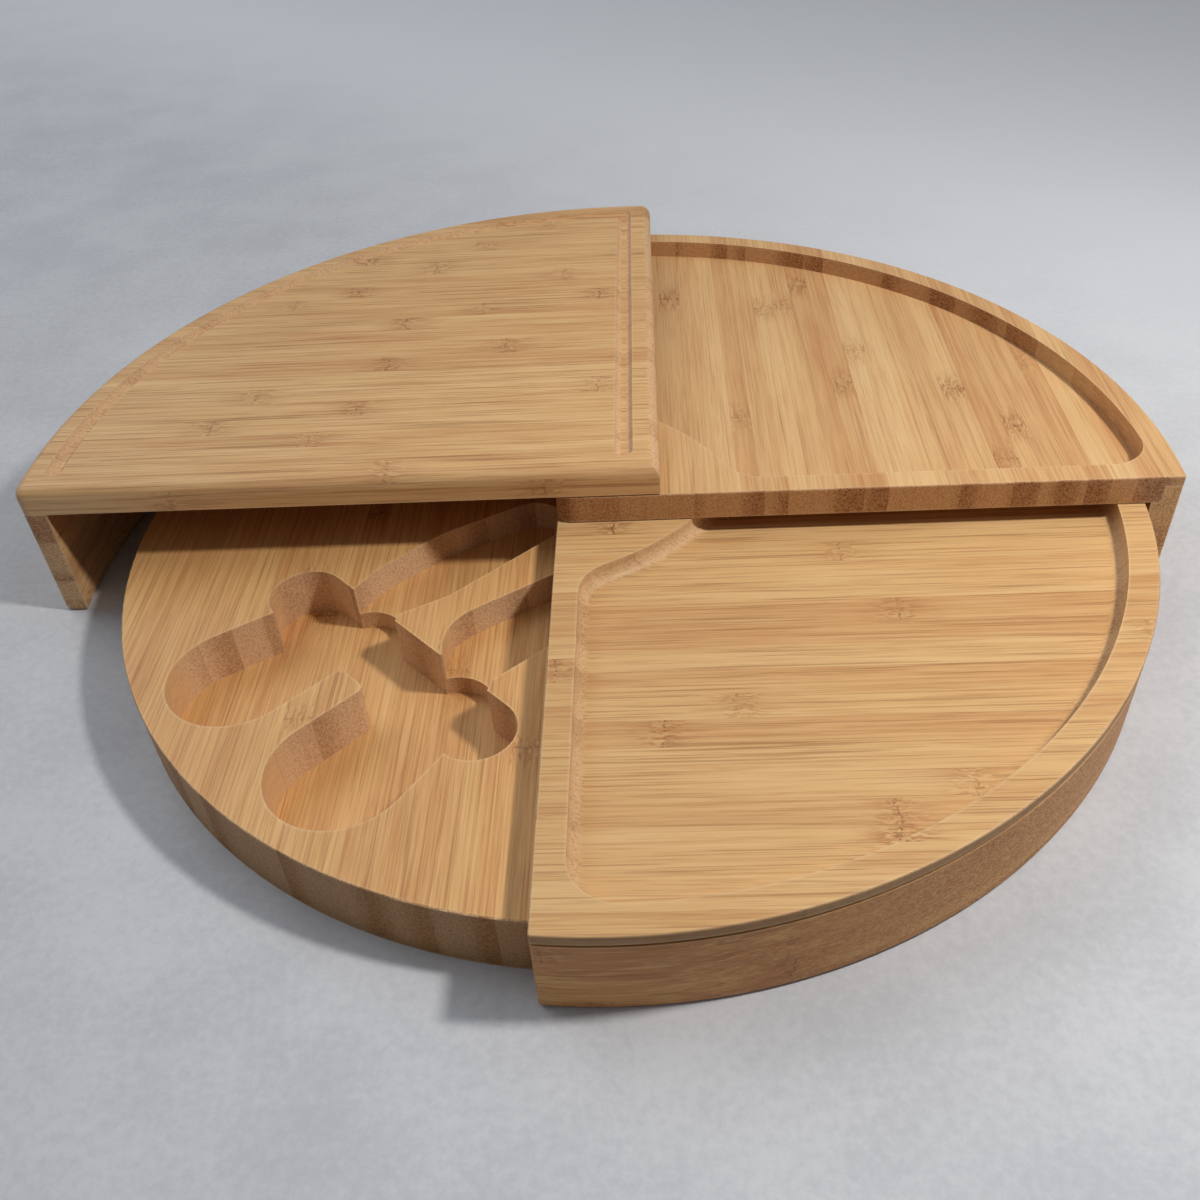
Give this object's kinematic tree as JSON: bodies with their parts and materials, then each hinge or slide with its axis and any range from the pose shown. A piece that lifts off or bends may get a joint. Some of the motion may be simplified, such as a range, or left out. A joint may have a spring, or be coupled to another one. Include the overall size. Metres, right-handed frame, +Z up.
{
  "type": "swivel cheese board",
  "caption": "Round bamboo cheese board of quarter-round tiers that swing out from one pivot: tool block, coved tray, deep tray and grooved top board.",
  "frame": {"origin": "on the table, under the middle of the open board's outline", "axes": "+Z up, +X to the right and +Y away from the picture's viewer; the pivot axis stands at x 5.1 mm, y -10.2 mm"},
  "size_m": [0.3758, 0.3656, 0.0511],
  "materials": {
    "bamboo": "satin, oiled",
    "dowel_wood": "plain",
    "steel": "zinc plated",
    "brass": "turned",
    "nylon": "plain"
  },
  "bodies": {
    "base": {"tool_block": "bamboo", "head_washer": "nylon"},
    "lower_tier": {"lower_tray": "bamboo", "lower_wall": "bamboo", "lower_washer": "nylon"},
    "middle_tier": {"middle_tray": "bamboo", "middle_wall": "bamboo", "middle_washer": "nylon"},
    "top_tier": {"top_board": "bamboo", "top_wall": "bamboo", "top_wall_dowels": "dowel_wood", "top_washer": "nylon", "threaded_insert": "brass", "pivot_bolt": "steel"}
  },
  "joints": [
    {"name": "lower_tier_swing", "type": "hinge", "parent": "base", "child": "lower_tier", "pos_m": [0.0051, -0.0102, 0], "axis": [0, 0, 1], "range_deg": [-90, 0]},
    {"name": "middle_tier_swing", "type": "hinge", "parent": "lower_tier", "child": "middle_tier", "pos_m": [0.0051, -0.0102, 0], "axis": [0, 0, 1], "range_deg": [-90, 0]},
    {"name": "top_tier_swing", "type": "hinge", "parent": "middle_tier", "child": "top_tier", "pos_m": [0.0051, -0.0102, 0], "axis": [0, 0, 1], "range_deg": [-90, 0]}
  ]
}
